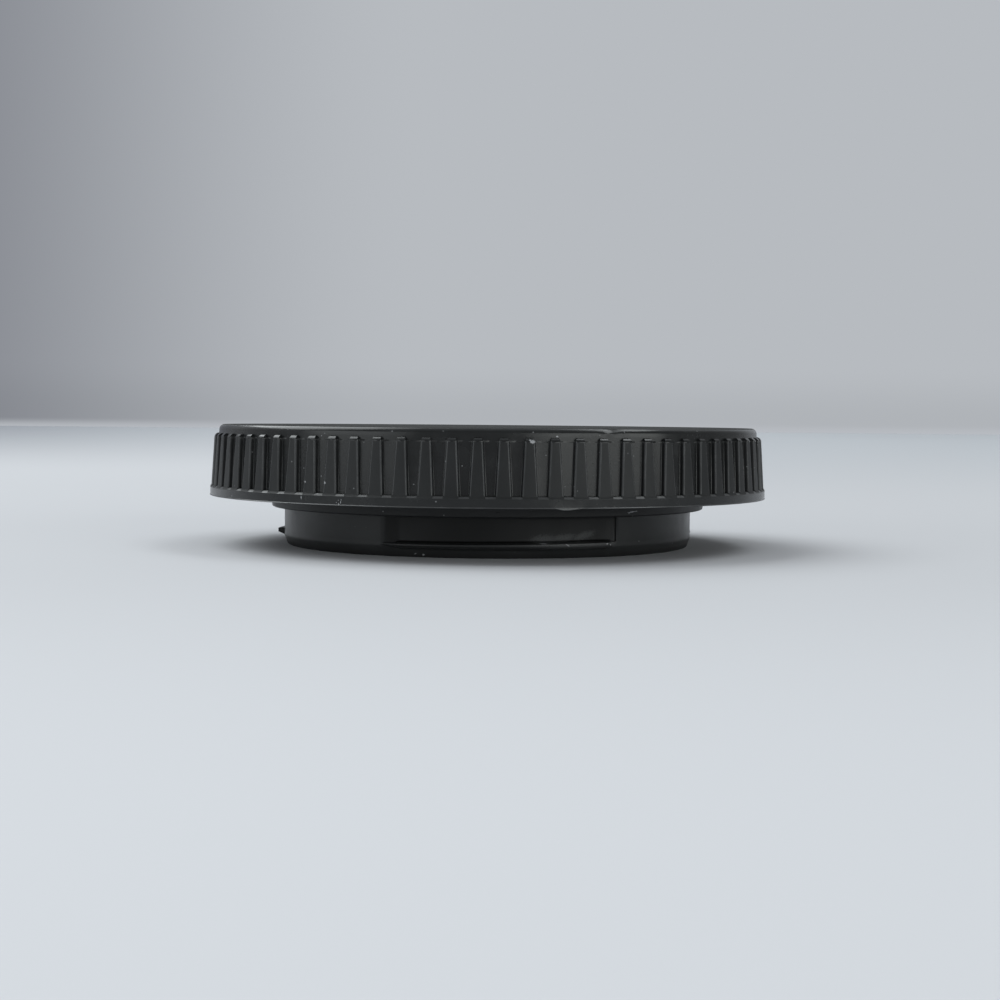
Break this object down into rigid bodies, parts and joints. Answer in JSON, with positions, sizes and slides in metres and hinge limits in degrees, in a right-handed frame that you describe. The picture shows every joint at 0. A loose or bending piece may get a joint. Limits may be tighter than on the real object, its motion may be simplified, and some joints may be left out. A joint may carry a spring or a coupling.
{
  "type": "camera body cap",
  "caption": "Round black plastic camera body cap with a ribbed grip rim, a seat ring and a hollow bayonet collar with sloping lugs.",
  "frame": {"origin": "on the cap's axis, at the lower edge of the bayonet collar that it stands on", "axes": "+Z along the cap's axis from the collar up to the plain face, -Y the side that the picture shows, +X to its right"},
  "size_m": [0.06, 0.06, 0.0128],
  "materials": {
    "black_plastic": "satin moulded"
  },
  "bodies": {
    "root": {"body_cap": "black_plastic"}
  },
  "joints": []
}
